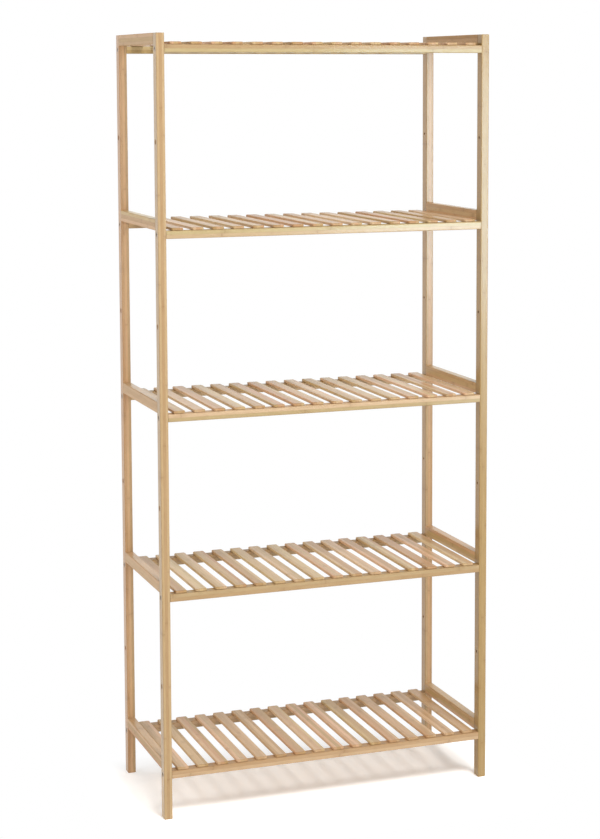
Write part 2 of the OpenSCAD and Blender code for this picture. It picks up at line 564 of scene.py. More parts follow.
    def _colour(self) -> bpy.types.NodeTree:
        """The colour of bamboo from its pale, warm and dark tints and the masks of the other groups.

        Returns:
            The group.
        """
        w, given = self._start({
            "Pale": (0.8, 0.7, 0.5), "Warm": (0.7, 0.5, 0.3), "Dark": (0.4, 0.2, 0.1),
            "Rosy Shift": WHITE, "Olive Shift": WHITE, "Tone": 0.5, "Hue": 0.5, "Piece Tone": 0.5,
            "Streak": 0.5, "Fleck": 0.0, "Mottle": 0.5, "Glue Line": 0.0, "Knuckle": 0.0, "Knuckle Halo": 0.0,
        })
        # The piece tone, with its painted shade and light, moves the whole piece towards the warm, darker tint.
        slow = w.total(0.0, (given["Mottle"], self.MOTTLE_WARMTH), (given["Piece Tone"], self.PIECE_WARMTH))
        share = w.total(slow, (w.fade(given["Tone"], *self.STRIP_TONE), self.STRIP_WARMTH))
        colour = w.blend(share, given["Pale"], given["Warm"])
        colour = w.blend(w.fade(given["Hue"], *self.ROSY), colour, given["Rosy Shift"], "MULTIPLY")
        colour = w.blend(w.fade_out(given["Hue"], *self.OLIVE), colour, given["Olive Shift"], "MULTIPLY")
        between = w.minus(1.0, given["Streak"])
        colour = w.blend(w.times(between, self.STREAK_DARKENING), colour, given["Dark"])
        for mask, darkening in self.DARKENING.items():
            colour = w.blend(w.times(given[mask], darkening), colour, given["Dark"])
        return self._end(w, {"Colour": colour})

    def _ends(self) -> bpy.types.NodeTree:
        """Cut ends: the dark dots of the fibre bundles, and the wood between them, which drinks more lacquer.

        Returns:
            The group.
        """
        w, given = self._start({"Place": None, "Cut End": 0.0, "Dots per Metre": 1150.0})
        _, across, deep = w.split(given["Place"])
        at = w.vector("SCALE", w.combine(across, deep, 0.0), scale=given["Dots per Metre"])
        inputs = {"Vector": at, "Scale": 1.0, "Randomness": self.DOT_DISORDER}
        dots = w.fade_out(w.node("ShaderNodeTexVoronoi", inputs).outputs["Distance"], *self.DOT)
        darkness = w.total(self.END_DARKNESS, (dots, self.DOT_DARKNESS))
        return self._end(w, {"Darkness": w.times(darkness, given["Cut End"])})

    def _edges(self) -> bpy.types.NodeTree:
        """Where a rounded edge has been handled and its lacquer is thin.

        Returns:
            The group.
        """
        w, given = self._start({"Place": None, "Arris": 0.0, "Amount": 0.5})
        patches = w.noise(given["Place"], self.WORN_PATCH_STRETCH, detail=3.0, roughness=0.65)
        worn = w.times(w.fade(patches, *self.WORN_PATCH), w.fade(given["Arris"], *self.WORN_ARRIS))
        return self._end(w, {"Wear": w.maths("MULTIPLY", worn, given["Amount"], clamp=True)})

    def _steel(self) -> bpy.types.NodeTree:
        """Fine turning lines and spots on a small steel part.

        Returns:
            The group.
        """
        w, given = self._start({"Place": None, "Fineness": 2600.0})
        at = w.vector("SCALE", given["Place"], scale=given["Fineness"])
        spots = w.noise(at, self.STEEL_SPOT_STRETCH, detail=3.0, roughness=0.7)
        return self._end(w, {"Lines": w.noise(at, self.STEEL_LINE_STRETCH), "Spots": w.fade(spots, *self.STEEL_SPOT)})


class GrainFrom(Enum):
    """Where a wood finish takes its grain's place from."""

    PIECE = "the piece's own grain attribute"
    OBJECT = "object coordinates, with the grain along Y"


@dataclass(frozen=True)
class BambooFinish:
    """Laminated bamboo under a clear satin lacquer.

    Its strips are glued side by side across the piece and in layers through its depth. The lacquer is thin on the
    arrises, and on a face that slats cover, which lies higher than matt_above over the middle of the piece.
    """

    STRIP_MASKS = ("Tone", "Hue", "Glue Line", "Knuckle", "Knuckle Halo")
    FIBRE_MASKS = ("Streak", "Fleck", "Mottle")
    ARRIS_PAINTED_SHADE = 0.16
    WORN_SHADE = 0.35
    BORED_PAINTED_SHADE = 0.35
    WORN_ROUGHNESS, STREAK_ROUGHNESS, BORED_ROUGHNESS = 0.18, -0.06, 0.35
    RELIEF = {"Fleck": -0.3, "Streak": 0.35, "Glue Line": -0.8, "Knuckle": 0.5}
    RELIEF_STRENGTH, RELIEF_HEIGHT = 0.35, 0.00012
    BARE_SHEEN = 0.02
    THINNED = 0.85
    TONE_TO_SEED = 53.0

    name: str
    pale: Colour
    warm: Colour
    strip_width: float
    strip_depth: float
    seed: float
    dark: Colour = (0.200, 0.086, 0.028)
    layer_offset: float = 0.5
    knuckle_spacing: float = 0.27
    fineness: float = 1900.0
    roughness: float = 0.46
    lacquer: float = 0.55
    lacquer_roughness: float = 0.18
    wear: float = 0.35
    matt_above: float | None = None
    grain: GrainFrom = GrainFrom.PIECE
    rosy_shift: Colour = (1.06, 0.965, 0.97)
    olive_shift: Colour = (0.95, 1.0, 0.86)

    def material(self, groups: GroupShelf) -> bpy.types.Material:
        """Builds the finish's material.

        Args:
            groups: The shared shader groups.

        Returns:
            The material.
        """
        made = bpy.data.materials.new(self.name)
        w = Wiring.afresh(made)
        place = self._grain_place(w)
        arris, bored, cut_end, tone_and_shade = (w.attribute(name) for name in (ARRIS, BORED, CUT_END, TONE_AND_SHADE))
        strips = groups.place(w, "Bamboo Strips", {
            "Place": place, "Strip Width": self.strip_width, "Strip Depth": self.strip_depth,
            "Layer Offset": self.layer_offset, "Knuckle Spacing": self.knuckle_spacing,
            "Seed": w.total(self.seed, (tone_and_shade, self.TONE_TO_SEED)),
        })
        fibre = groups.place(w, "Bamboo Fibre", {"Place": strips["Strip Place"], "Fineness": self.fineness})
        worn = groups.place(w, "Handled Edges", {"Place": place, "Arris": arris, "Amount": self.wear})["Wear"]
        ends = groups.place(w, "Cut Ends", {"Place": place, "Cut End": cut_end})["Darkness"]
        masks = {mask: strips[mask] for mask in self.STRIP_MASKS}
        masks.update({mask: fibre[mask] for mask in self.FIBRE_MASKS})
        colour = groups.place(w, "Bamboo Colour", {
            "Pale": self.pale, "Warm": self.warm, "Dark": self.dark,
            "Rosy Shift": self.rosy_shift, "Olive Shift": self.olive_shift, "Piece Tone": tone_and_shade, **masks,
        })["Colour"]
        colour = w.blend(ends, colour, self.dark)
        # Painted shade: the rounded arrises are darkened towards the dark tint, as if they were turning into shadow.
        colour = w.blend(w.times(arris, self.ARRIS_PAINTED_SHADE), colour, self.dark)
        colour = w.blend(w.times(worn, self.WORN_SHADE), colour, self.pale)
        # Painted shade: the walls of the bored holes are darkened, as shade in the recess.
        colour = w.blend(w.times(bored, self.BORED_PAINTED_SHADE), colour, self.dark)
        rough = w.total(self.roughness, (worn, self.WORN_ROUGHNESS), (masks["Streak"], self.STREAK_ROUGHNESS))
        relief = w.total(0.0, *((masks[mask], share) for mask, share in self.RELIEF.items()))
        w.surface(w.principled({
            "Base Color": colour,
            "Roughness": w.total(rough, (bored, self.BORED_ROUGHNESS)),
            "Normal": w.bumped(relief, self.RELIEF_STRENGTH, self.RELIEF_HEIGHT),
            "Specular IOR Level": self.BARE_SHEEN,
            "Coat Weight": self._coat(w, place, arris),
            "Coat Roughness": self.lacquer_roughness,
        }))
        return made

    def _grain_place(self, w: Wiring) -> Socket:
        """Where a point lies in the grain, with the length first.

        Args:
            w: The material's wiring.

        Returns:
            The place.
        """
        if self.grain is GrainFrom.PIECE:
            return w.attribute(GRAIN, "Vector")
        x, y, z = w.split(w.object_place())
        return w.combine(y, x, z)

    def _coat(self, w: Wiring, place: Socket, arris: Socket) -> Feed:
        """How much lacquer there is: thin on the arrises, and on a face that other pieces cover.

        Args:
            w: The material's wiring.
            place: Where a point lies in the piece's grain.
            arris: How far round an edge it lies.

        Returns:
            What feeds the shader's coat, a plain number where there is no lacquer.
        """
        if not self.lacquer:
            return 0.0
        thin = arris
        if self.matt_above is not None:
            thin = w.most(arris, w.maths("GREATER_THAN", w.split(place)[2], self.matt_above))
        return w.total(self.lacquer, (thin, -self.THINNED * self.lacquer))


@dataclass(frozen=True)
class SteelFinish:
    """Plated steel of a small screw, rubbed brighter on its edges."""

    DULLED = 0.6
    DULL_SHARE = 0.25
    WEAR = 0.9
    SPOT_ROUGHNESS, LINE_ROUGHNESS = 0.12, 0.16
    RELIEF_STRENGTH, RELIEF_HEIGHT = 0.25, 0.00004

    name: str
    plating: Colour
    bare: Colour
    roughness: float

    def material(self, groups: GroupShelf) -> bpy.types.Material:
        """Builds the finish's material.

        Args:
            groups: The shared shader groups.

        Returns:
            The material.
        """
        made = bpy.data.materials.new(self.name)
        w = Wiring.afresh(made)
        place, arris = w.object_place(), w.attribute(ARRIS)
        steel = groups.place(w, "Steel Grain", {"Place": place})
        worn = groups.place(w, "Handled Edges", {"Place": place, "Arris": arris, "Amount": self.WEAR})["Wear"]
        dulled = tuple(self.DULLED * value for value in self.plating)
        plated = w.blend(w.times(steel["Spots"], self.DULL_SHARE), self.plating, dulled)
        rough = w.total(self.roughness, (steel["Spots"], self.SPOT_ROUGHNESS), (steel["Lines"], self.LINE_ROUGHNESS))
        w.surface(w.principled({
            "Base Color": w.blend(worn, plated, self.bare),
            "Metallic": 1.0,
            "Roughness": rough,
            "Normal": w.bumped(steel["Lines"], self.RELIEF_STRENGTH, self.RELIEF_HEIGHT),
        }))
        return made


Finish = BambooFinish | SteelFinish


@dataclass
class FinishSet:
    """Every finish of the unit, each with its material built once."""

    POST = BambooFinish(
        "post_bamboo", pale=(0.610, 0.429, 0.242), warm=(0.397, 0.242, 0.105),
        strip_width=0.0053, strip_depth=0.0206, seed=3.0,
        lacquer=0.8, rosy_shift=(1.10, 0.935, 0.88), olive_shift=(0.97, 1.02, 0.88),
    )
    TIE = BambooFinish(
        "tie_bamboo", pale=(0.672, 0.468, 0.254), warm=(0.491, 0.279, 0.117),
        strip_width=0.0157, strip_depth=0.0071, seed=11.0,
        lacquer=0.4, lacquer_roughness=0.24,
    )
    RAIL = BambooFinish(
        "rail_bamboo", pale=(0.624, 0.479, 0.292), warm=(0.413, 0.270, 0.125),
        strip_width=0.0207, strip_depth=0.0072, seed=23.0, layer_offset=0.0,
        lacquer=0.8, matt_above=0.0055,
    )
    SLAT = BambooFinish(
        "slat_bamboo", pale=(0.845, 0.600, 0.357), warm=(0.590, 0.356, 0.164), dark=(0.200, 0.090, 0.034),
        strip_width=0.0072, strip_depth=0.0053, seed=31.0,
        roughness=0.56, lacquer=0.42, lacquer_roughness=0.28,
    )
    DOWEL = BambooFinish(
        "dowel_beech", pale=(0.72, 0.53, 0.34), warm=(0.62, 0.42, 0.25), dark=(0.34, 0.20, 0.11),
        strip_width=0.0071, strip_depth=0.0071, seed=47.0, knuckle_spacing=9.0, fineness=2600.0,
        roughness=0.6, lacquer=0.0, grain=GrainFrom.OBJECT,
    )
    FRAME_SCREW = SteelFinish("bronzed_screw", (0.20, 0.155, 0.11), (0.42, 0.36, 0.29), 0.36)
    SLAT_SCREW = SteelFinish("zinc_screw", (0.52, 0.52, 0.50), (0.70, 0.69, 0.66), 0.26)

    groups: GroupShelf = field(default_factory=GroupShelf)
    made: dict[str, bpy.types.Material] = field(default_factory=dict)

    def of(self, finish: Finish) -> bpy.types.Material:
        """The material of a finish.

        Args:
            finish: One of the unit's finishes.

        Returns:
            Its material, built on first use.
        """
        if finish.name not in self.made:
            self.made[finish.name] = finish.material(self.groups)
        return self.made[finish.name]


def add_object(name: str, data: bpy.types.ID) -> Thing:
    """Adds an object to the scene.

    Args:
        name: The object's name.
        data: Its mesh, lamp or camera.

    Returns:
        The object.
    """
    made = bpy.data.objects.new(name, data)
    bpy.context.scene.collection.objects.link(made)
    return made


def discard(scratch: Iterable[Thing]) -> None:
    """Removes scratch objects and their meshes.

    Args:
        scratch: The objects.
    """
    for thing in scratch:
        mesh = thing.data
        bpy.data.objects.remove(thing)
        if mesh.users == 0:
            bpy.data.meshes.remove(mesh)


def cut(stock: Thing, cutters: Iterable[Thing]) -> None:
    """Cuts other scratch objects out of one, and leaves the cuts as modifiers.

    Args:
        stock: What is cut.
        cutters: What is cut out of it.
    """
    for cutter in cutters:
        made = stock.modifiers.new(cutter.name, "BOOLEAN")
        made.operation = "DIFFERENCE"
        made.solver = "EXACT"
        made.object = cutter
        cutter.hide_render = True


def evaluated(scratch: Thing) -> Mesh:
    """A new mesh from an object with its modifiers.

    Args:
        scratch: The object.

    Returns:
        The mesh.
    """
    graph = bpy.context.evaluated_depsgraph_get()
    graph.update()
    return bpy.data.meshes.new_from_object(
        scratch.evaluated_get(graph), preserve_all_data_layers=True, depsgraph=graph,
    )


def plain_mesh(scratch: Thing, scrap: Iterable[Thing] = ()) -> Mesh:
    """The mesh that a scratch object's modifiers give, with even shading, and no scratch objects left.

    Args:
        scratch: The scratch object.
        scrap: Other scratch objects that are no longer needed.

    Returns:
        The plain mesh.
    """
    made = evaluated(scratch)
    discard([scratch, *scrap])
    made.polygons.foreach_set("use_smooth", [True] * len(made.polygons))
    made.set_sharp_from_angle(angle=SHADE_ANGLE)
    shaded = add_object("shading", made)
    shaded.modifiers.new("weights", "WEIGHTED_NORMAL").keep_sharp = True
    result = evaluated(shaded)
    discard([shaded])
    return result


def write_values(mesh: Mesh, name: str, values: Sequence[float], kind: str = "FLOAT", domain: str = "POINT") -> None:
    """Writes numbers, in order, to a new attribute of a mesh."""
    layer = mesh.attributes.new(name, kind, domain)
    layer.data.foreach_set("vector" if kind == "FLOAT_VECTOR" else "value", values)


def outward_mesh(made: bmesh.types.BMesh, name: str) -> Mesh:
    """Turns a closed bmesh into a mesh with its faces outwards, and frees it.

    Args:
        made: The bmesh.
        name: The mesh's name.

    Returns:
        The mesh.
    """
    bmesh.ops.recalc_face_normals(made, faces=made.faces)
    result = bpy.data.meshes.new(name)
    made.to_mesh(result)
    made.free()
    return result


def skinned(name: str, rings: Iterable[Iterable[Sequence[float]]]) -> Mesh:
    """Stretches a closed skin over rings of points.

    Args:
        name: The mesh's name.
        rings: The rings in order, all of one count, or of a single point where the skin comes together.

    Returns:
        A closed mesh with its faces outwards.
    """
    made = bmesh.new()
    loops = [[made.verts.new(point) for point in ring] for ring in rings]
    count = max(len(loop) for loop in loops)
    for lower, upper in zip(loops, loops[1:]):
        for i in range(count):
            j = (i + 1) % count
            ring = [lower[i % len(lower)], lower[j % len(lower)], upper[j % len(upper)], upper[i % len(upper)]]
            corners = list(dict.fromkeys(ring))
            if len(corners) > 2:
                made.faces.new(corners)
    for end in (loops[0][::-1], loops[-1]):
        if len(end) > 1:
            made.faces.new(end)
    return outward_mesh(made, name)


@dataclass(frozen=True)
class RoundedBlock:
    """A block whose long edges are rounded, and whose end rims may be rounded too.

    It lies about the origin, and its length runs along the last of its run's axes.
    """

    across: float
    depth: float
    length: float
    corner: float
    rim: float = 0.0
    run: Run = Run.ALONG_Z
    steps: int = 4
    rim_steps: int = 3

    def mesh(self, name: str) -> Mesh:
        """Builds the block.

        Args:
            name: The mesh's name.

        Returns:
            A closed mesh with its faces outwards.
        """
        rings = []
        for inset, z in self._rings():
            radius = self.corner - inset
            rings.append([
                self._turned(
                    sx * (self.across / 2 - self.corner) + radius * math.cos(a),
                    sy * (self.depth / 2 - self.corner) + radius * math.sin(a),
                    z,
                )
                for sx, sy, a in self._outline()
            ])
        return skinned(name, rings)

    def depth_inside(self, own: Sequence[float]) -> float:
        """How far inside the block's skin a point lies.

        Args:
            own: The point's distances from the block's middle, across, in depth and along.

        Returns:
            The depth below the nearest side or end, or zero near a rounded end.
        """
        x, y = own[0] - self.across / 2 + self.corner, own[1] - self.depth / 2 + self.corner
        side = self.corner - math.hypot(max(x, 0.0), max(y, 0.0)) - min(max(x, y), 0.0)
        return min(side, max(self.length / 2 - self.rim - own[2], 0.0))

    def _outline(self) -> list[tuple[int, int, float]]:
        """The signs of the corner and the angle round it of each point of the outline, in order.

        Returns:
            The points.
        """
        corners = enumerate(((1, 1), (-1, 1), (-1, -1), (1, -1)))
        turns = [i / self.steps for i in range(self.steps + 1)]
        return [(sx, sy, (quarter + turn) * math.pi / 2) for quarter, (sx, sy) in corners for turn in turns]

    def _rings(self) -> list[Span]:
        """The inset and height of each ring, from the lower end to the upper.

        Returns:
            The rings.
        """
        if not self.rim:
            return [(0.0, -self.length / 2), (0.0, self.length / 2)]
        arc = [
            (self.rim * (1 - math.cos(a)), self.length / 2 - self.rim + self.rim * math.sin(a))
            for a in (i / self.rim_steps * math.pi / 2 for i in range(self.rim_steps + 1))
        ]
        return [(inset, -z) for inset, z in reversed(arc)] + arc

    def _turned(self, *own: float) -> Vector:
        """A point from the block's own across, depth and length to the unit's axes.

        Args:
            *own: The point's across, depth and length.

        Returns:
            The point.
        """
        place = Vector()
        for axis, value in zip(self.run.value, own):
            place[axis] = value
        return place


@dataclass(frozen=True)
class Lathe:
    """A turned shape about +Z, from its profile of radius and height."""

    profile: tuple[Span, ...]
    segments: int = 32

    def mesh(self, name: str) -> Mesh:
        """Builds the turned shape.

        Args:
            name: The mesh's name.

        Returns:
            A closed mesh with its faces outwards.
        """
        angles = [2 * math.pi * i / self.segments for i in range(self.segments)]
        return skinned(name, [
            [(radius * math.cos(a), radius * math.sin(a), z) for a in angles] if radius > 0 else [(0, 0, z)]
            for radius, z in self.profile
        ])

    def repeated(self, seats: Iterable[Matrix]) -> Mesh:
        """Builds the turned shape in several places.

        Args:
            seats: Where each one goes.

        Returns:
            One mesh that holds them all.
        """
        holes = bmesh.new()
        for seat in seats:
            one = self.mesh("hole")
            one.transform(seat)
            holes.from_mesh(one)
            bpy.data.meshes.remove(one)
        return outward_mesh(holes, "holes")


class Workbench:
    """Turns meshes into finished pieces of the unit."""

    ARRIS_SHARE = 0.66

    def __init__(self, finishes: FinishSet, seed: int = 7) -> None:
        """Takes the unit's finishes, and the seed for what differs from piece to piece."""
        self.finishes = finishes
        self.chance = Random(seed)

    def bar(
        self, node: str, block: RoundedBlock, centre: Point, finish: BambooFinish, slot: str,
        hole: Lathe | None = None, seats: Sequence[Matrix] = (),
    ) -> None:
        """Makes one bar of the frame, bored for its screws.

        Args:
            node: The bar's CAD node.
            block: The block that it is made from.
            centre: The bar's middle.
            finish: Its finish.
            slot: A material slot name, passed on to finish.
            hole: The cutter of one of its holes.
            seats: Where each hole goes.
        """
        mesh = block.mesh(node)
        mesh.transform(Matrix.Translation(centre))
        stock = add_object(node + "_stock", mesh)
        drills = [add_object("drill", hole.repeated(seats))] if hole else []
        cut(stock, drills)
        made = plain_mesh(stock, drills)
        self._mark(node, made, block, centre)
        self.finish(node + "_bamboo", made, finish, slot, [node])

    def _mark(self, node: str, mesh: Mesh, block: RoundedBlock, centre: Point) -> None:
        """Writes where a bar's points lie in its grain, which faces are edges, holes or cut ends, and its tone, which
        for the listed pieces also holds painted shade and light.

        Args:
            node: The bar's CAD node.
            mesh: The bar's mesh, in place.
            block: The block that it was made from.
            centre: The bar's middle.
        """
        halves = (block.across / 2, block.depth / 2)
        start = self.chance.uniform(0.0, GRAIN_RUN)
        grain, arris, bored, ends = [], [], [], []
        for vertex in mesh.vertices:
            *own, along = (vertex.co[axis] - centre[axis] for axis in block.run.value)
            grain.extend((along + start, *own))
            inset = min(max(0.0, abs(value) - half + block.corner) for value, half in zip(own, halves))
            arris.append(min(1.0, inset / (block.corner * self.ARRIS_SHARE)))
        for face in mesh.polygons:
            own = [abs(face.center[axis] - centre[axis]) for axis in block.run.value]
            bored.append(float(block.depth_inside(own) > SKIN))
            ends.append(float(own[2] > block.length / 2 - SKIN))
        write_values(mesh, BORED, bored, domain="FACE")
        write_values(mesh, CUT_END, ends, domain="FACE")
        write_values(mesh, GRAIN, grain, kind="FLOAT_VECTOR")
        write_values(mesh, ARRIS, arris)
        # Listed tones hold painted shade and light as well as the wood's tone; other pieces get a random tone.
        tone_and_shade = PIECE_TONES_AND_PAINTED_SHADE.get(node, self.chance.random())
        write_values(mesh, TONE_AND_SHADE, [tone_and_shade] * len(mesh.vertices))

    def finish(self, name: str, mesh: Mesh, finish: Finish, slot: str, nodes: Sequence[str]) -> None:
        """Makes a finished piece that stands for CAD nodes.

        Args:
            name: The piece's name.
            mesh: Its mesh, in place.
            finish: Its finish.
            slot: Not used.
            nodes: The CAD nodes that it replaces.
        """
        mesh.name = name
        piece = add_object(name, mesh)
        mesh.materials.clear()
        mesh.materials.append(self.finishes.of(finish))
        mesh.polygons.foreach_set("material_index", [0] * len(mesh.polygons))
        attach(piece, BODY)
        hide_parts(*nodes)
        low, high = (
            [round(MM_PER_M * pick(vertex.co[axis] for vertex in mesh.vertices), 1) for axis in range(3)]
            for pick in (min, max)
        )
        log.info("%s: %d faces, from %s to %s mm", name, len(mesh.polygons), low, high)


@dataclass
class ScrewForm:
    """A countersunk screw and the hole that it fits, both pointing along -Z from the top of the head."""

    shank: float
    head: float
    length: float
    tip: float
    rim: float
    gap: float
    bevel: float = 0.00015
    segments: int = 32
    reach: float = 0.001
    worn_bevels: float = 1.5

    @property
    def cone(self) -> float:
        """The height of the head's 45 degree cone."""
        return (self.head - self.shank) / 2

    def hole(self, depth: float) -> Lathe:
        """The cutter of the hole that the screw fits, which stands out at both ends of that depth.

        Args:
            depth: How deep the hole is below the top of the head.

        Returns:
            The cutter.
        """
        wide, narrow = self.head / 2 + self.gap, self.shank / 2 + self.gap
        return Lathe((
            (0.0, self.reach),
            (wide, self.reach),
            (wide, -self.rim),
            (narrow, -self.rim - self.cone),
            (narrow, -depth - self.reach),
            (0.0, -depth - self.reach),
        ), self.segments)

    def pattern(self, tools: Iterable[Mesh]) -> Thing:
        """One screw with its drive cut, for a geometry tree to repeat.

        Args:
            tools: What is cut out of the head.

        Returns:
            A scratch object at the origin.
        """
        blank = add_object("blank", Lathe((
            (0.0, 0.0),
            (self.head / 2 - self.bevel, 0.0),
            (self.head / 2, -self.bevel),
            (self.head / 2, -self.rim),
            (self.shank / 2, -self.rim - self.cone),
            (self.shank / 2, self.tip - self.length),
            (self.shank / 4, -self.length),
            (0.0, -self.length),
        ), self.segments).mesh("blank"))
        cutters = [add_object("tool", tool) for tool in tools]
        cut(blank, cutters)
        mesh = plain_mesh(blank, cutters)
        self._mark(mesh)
        return add_object("screw", mesh)

    def _mark(self, mesh: Mesh) -> None:
        """Marks the rim of the screw's head, where its plating wears first.

        Args:
            mesh: The screw's mesh about its own origin.
        """
        near = self.worn_bevels * self.bevel
        worn = [
            float(z > -near and math.hypot(x, y) > self.head / 2 - near)
            for x, y, z in (vertex.co for vertex in mesh.vertices)
        ]
        write_values(mesh, ARRIS, worn)


@dataclass
class SideFrames:
    """The two ladder-like side frames: a front and a back post each, with five ties between them."""

    sizes: UnitSizes
    bench: Workbench
    screw: ScrewForm

    def build(self) -> None:
        """Builds every post and tie."""
        for side in Side:
            for row in Row:
                self.post(side, row)
            for level in self.sizes.levels:
                self.tie(side, level)

    def post(self, side: Side, row: Row) -> None:
        """One post, with a countersunk hole at every shelf and half way between shelves.

        Args:
            side: Its side frame.
            row: Its row.
        """
        s = self.sizes
        block = RoundedBlock(s.frame_thickness, s.post_depth, s.height, s.bar_radius, s.post_end_radius)
        centre = (side.value * s.post_x, row.value * s.post_y, s.height / 2)
        outwards = Matrix.Rotation(side.value * math.pi / 2, 4, "Y")
        seats = []
        for half_step in range(2 * s.shelf_count - 1):
            height = s.screw_z(1 + half_step / 2)
            seats.append(Matrix.Translation((side.value * s.width / 2, row.value * s.rail_y, height)) @ outwards)
        node = f"post_{row.name.lower()}_{side.name.lower()}"
        hole = self.screw.hole(s.frame_thickness)
        self.bench.bar(node, block, centre, FinishSet.POST, "bamboo_post", hole, seats)

    def tie(self, side: Side, level: int) -> None:
        """One tie, butted between the two posts of a side frame.

        Args:
            side: Its side frame.
            level: Its shelf.
        """
        s = self.sizes
        block = RoundedBlock(s.frame_thickness, s.tie_height, 2 * s.inner_y, s.bar_radius, run=Run.ALONG_Y)
        centre = (side.value * s.post_x, 0.0, s.slat_z(level) + s.tie_height / 2)
        self.bench.bar(f"tie_{side.name.lower()}_{level}", block, centre, FinishSet.TIE, "bamboo_tie")


class GeometryTree:
    """A Geometry Nodes tree with named inputs, which makes pieces from an empty mesh."""

    def __init__(self, name: str, inputs: dict[str, str]) -> None:
        """Starts the tree.

        Args:
            name: The tree's name.
            inputs: The socket type of each input but the seed and the material.
        """
        self.tree = bpy.data.node_groups.new(name, "GeometryNodeTree")
        new_socket = self.tree.interface.new_socket
        self.sockets = {
            label: new_socket(label, in_out="INPUT", socket_type=kind).identifier
            for label, kind in {**inputs, "Seed": INT, "Material": "NodeSocketMaterial"}.items()
        }
        new_socket("Geometry", in_out="OUTPUT", socket_type="NodeSocketGeometry")
        self.wiring = Wiring(self.tree)
        self.given = self.wiring.node("NodeGroupInput").outputs

    def close(self, geometry: Socket) -> None:
        """Ends the tree in real geometry with its material.

        Args:
            geometry: The instances or meshes that the tree made.
        """
        inputs = {"Geometry": self.real(geometry), "Material": self.given["Material"]}
        dressed = self.wiring.node("GeometryNodeSetMaterial", inputs).outputs["Geometry"]
        self.wiring.node("NodeGroupOutput", {"Geometry": dressed})

    def real(self, geometry: Socket) -> Socket:
        """Turns instances into real geometry."""
        return self.wiring.node("GeometryNodeRealizeInstances", {"Geometry": geometry}).outputs["Geometry"]

    def position(self) -> Socket:
        """Where each point lies."""
        return self.wiring.node("GeometryNodeInputPosition").outputs["Position"]

    def line(self, count: Feed, start: Feed, step: Feed) -> Socket:
        """Points in a line, from a start and a step."""
        inputs = {"Count": count, "Start Location": start, "Offset": step}
        return self.wiring.node("GeometryNodeMeshLine", inputs, mode="OFFSET").outputs["Mesh"]

    def copies(self, points: Socket, thing: Socket, turn: Feed = None) -> Socket:
        """Instances of a thing on points."""
        inputs = {"Points": points, "Instance": thing, "Rotation": turn}
        return self.wiring.node("GeometryNodeInstanceOnPoints", inputs).outputs["Instances"]

    def row_start(self, count: Socket, pitch: Socket) -> Socket:
        """Where a row about the middle starts."""
        return self.wiring.times(self.wiring.minus(count, 1.0), self.wiring.times(pitch, -0.5))

    def piece(
        self, bench: Workbench, name: str, finish: Finish, slot: str, node: str, values: dict[str, object],
        scrap: Iterable[Thing] = (),
    ) -> None:
        """Runs the tree on an empty mesh and finishes what it makes.

        Args:
            bench: The workbench.
            name: The piece's name.
            finish: Its finish.
            slot: A material slot name, passed on to the workbench's finish.
            node: The CAD node that it replaces.
            values: The value of each input but the material.
            scrap: Scratch objects that aren't needed after it.
        """
        scratch = add_object(name + "_scratch", bpy.data.meshes.new(name))
        modifier = scratch.modifiers.new(name, "NODES")
        modifier.node_group = self.tree
        for label, value in {**values, "Material": bench.finishes.of(finish)}.items():
            modifier[self.sockets[label]] = value
        bench.finish(name, plain_mesh(scratch, scrap), finish, slot, [node])


